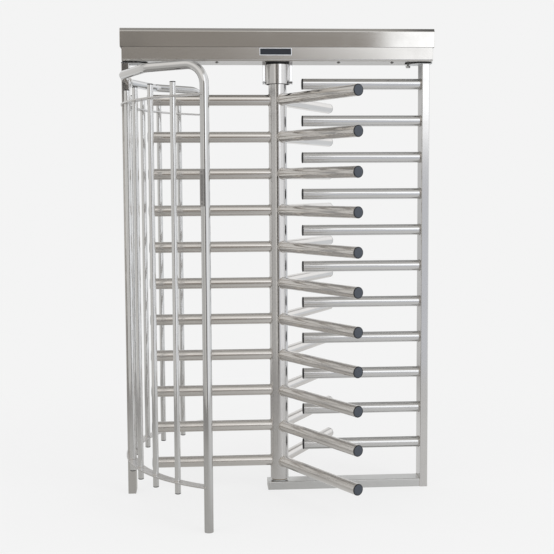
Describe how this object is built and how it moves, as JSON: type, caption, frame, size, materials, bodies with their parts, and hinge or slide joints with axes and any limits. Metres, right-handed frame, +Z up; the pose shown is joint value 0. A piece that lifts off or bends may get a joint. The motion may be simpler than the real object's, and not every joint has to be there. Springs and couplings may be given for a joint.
{
  "type": "full height turnstile",
  "caption": "Full height turnstile: a rotor with wings of round arms turns between a comb of fixed bars and a curved cage of upright tubes, under a header beam on posts.",
  "frame": {"origin": "on the rotor's axis at floor level, under the floor rail", "axes": "+Z up along the rotor's axis, +X from the rotor towards the post with the comb of bars, -Y towards the front"},
  "size_m": [1.4405, 1.2789, 2.152],
  "materials": {
    "polished_tube": "polished stainless tube",
    "brushed_frame": "satin stainless",
    "header_sheet": "satin stainless sheet",
    "mechanism_steel": "zinc plated",
    "bronze": "turned",
    "dark_plastic": "fine grain"
  },
  "bodies": {
    "frame": {"base_rail": "brushed_frame", "left_post": "brushed_frame", "right_post": "brushed_frame", "left_top_plate": "mechanism_steel", "right_top_plate": "mechanism_steel", "comb_bar_01": "polished_tube", "comb_bar_02": "polished_tube", "comb_bar_03": "polished_tube", "comb_bar_04": "polished_tube", "comb_bar_05": "polished_tube", "comb_bar_06": "polished_tube", "comb_bar_07": "polished_tube", "comb_bar_08": "polished_tube", "comb_bar_09": "polished_tube", "comb_bar_10": "polished_tube", "comb_bar_11": "polished_tube", "front_hoop": "polished_tube", "rear_hoop": "polished_tube", "lower_ring": "brushed_frame", "upper_ring": "brushed_frame", "picket_01": "polished_tube", "picket_02": "polished_tube", "picket_03": "polished_tube", "picket_04": "polished_tube", "picket_05": "polished_tube", "picket_06": "polished_tube", "picket_07": "polished_tube", "picket_08": "polished_tube", "header_tray": "header_sheet", "head_plate": "mechanism_steel", "collar_front": "brushed_frame", "collar_rear": "brushed_frame", "top_bearing": "mechanism_steel", "pivot_pin": "mechanism_steel", "reader_box": "dark_plastic", "damper_body": "dark_plastic", "entry_solenoid": "mechanism_steel", "exit_solenoid": "mechanism_steel", "control_box": "dark_plastic"},
    "rotor": {"rotor_column": "brushed_frame", "arm_row_01": "polished_tube", "arm_row_02": "polished_tube", "arm_row_03": "polished_tube", "arm_row_04": "polished_tube", "arm_row_05": "polished_tube", "arm_row_06": "polished_tube", "arm_row_07": "polished_tube", "arm_row_08": "polished_tube", "arm_row_09": "polished_tube", "arm_row_10": "polished_tube", "arm_row_11": "polished_tube", "foot_bush": "bronze", "drive_shaft": "mechanism_steel", "index_cam": "mechanism_steel", "shaft_gear": "mechanism_steel"},
    "lid": {"header_cover": "header_sheet"},
    "lever": {"centring_lever": "mechanism_steel"},
    "entry_lock": {"entry_pawl": "mechanism_steel"},
    "exit_lock": {"exit_pawl": "mechanism_steel"},
    "damper": {"damper_pinion": "mechanism_steel"}
  },
  "joints": [
    {"name": "rotor_spin", "type": "hinge", "parent": "frame", "child": "rotor", "pos_m": [0, 0, 1], "axis": [0, 0, 1], "continuous": true},
    {"name": "damper_spin", "type": "hinge", "parent": "frame", "child": "damper", "pos_m": [0.08, 0, 2.056], "axis": [0, 0, 1], "continuous": true},
    {"name": "lever_swing", "type": "hinge", "parent": "frame", "child": "lever", "pos_m": [0.095, 0.06, 2.072], "axis": [0, 0, -1], "range_deg": [0, 9]},
    {"name": "entry_lock_swing", "type": "hinge", "parent": "frame", "child": "entry_lock", "pos_m": [-0.1, -0.02, 2.085], "axis": [0, 0, 1], "range_deg": [0, 14], "stiffness_Nm_per_rad": 0.2},
    {"name": "exit_lock_swing", "type": "hinge", "parent": "frame", "child": "exit_lock", "pos_m": [-0.1, 0.02, 2.085], "axis": [0, 0, -1], "range_deg": [0, 14], "stiffness_Nm_per_rad": 0.2},
    {"name": "lid_lift", "type": "hinge", "parent": "frame", "child": "lid", "pos_m": [0, 0.0945, 2.064], "axis": [-1, 0, 0], "range_deg": [0, 75]}
  ],
  "couplings": [
    {"joint": "damper_spin", "follows": "rotor_spin", "ratio": -3}
  ]
}
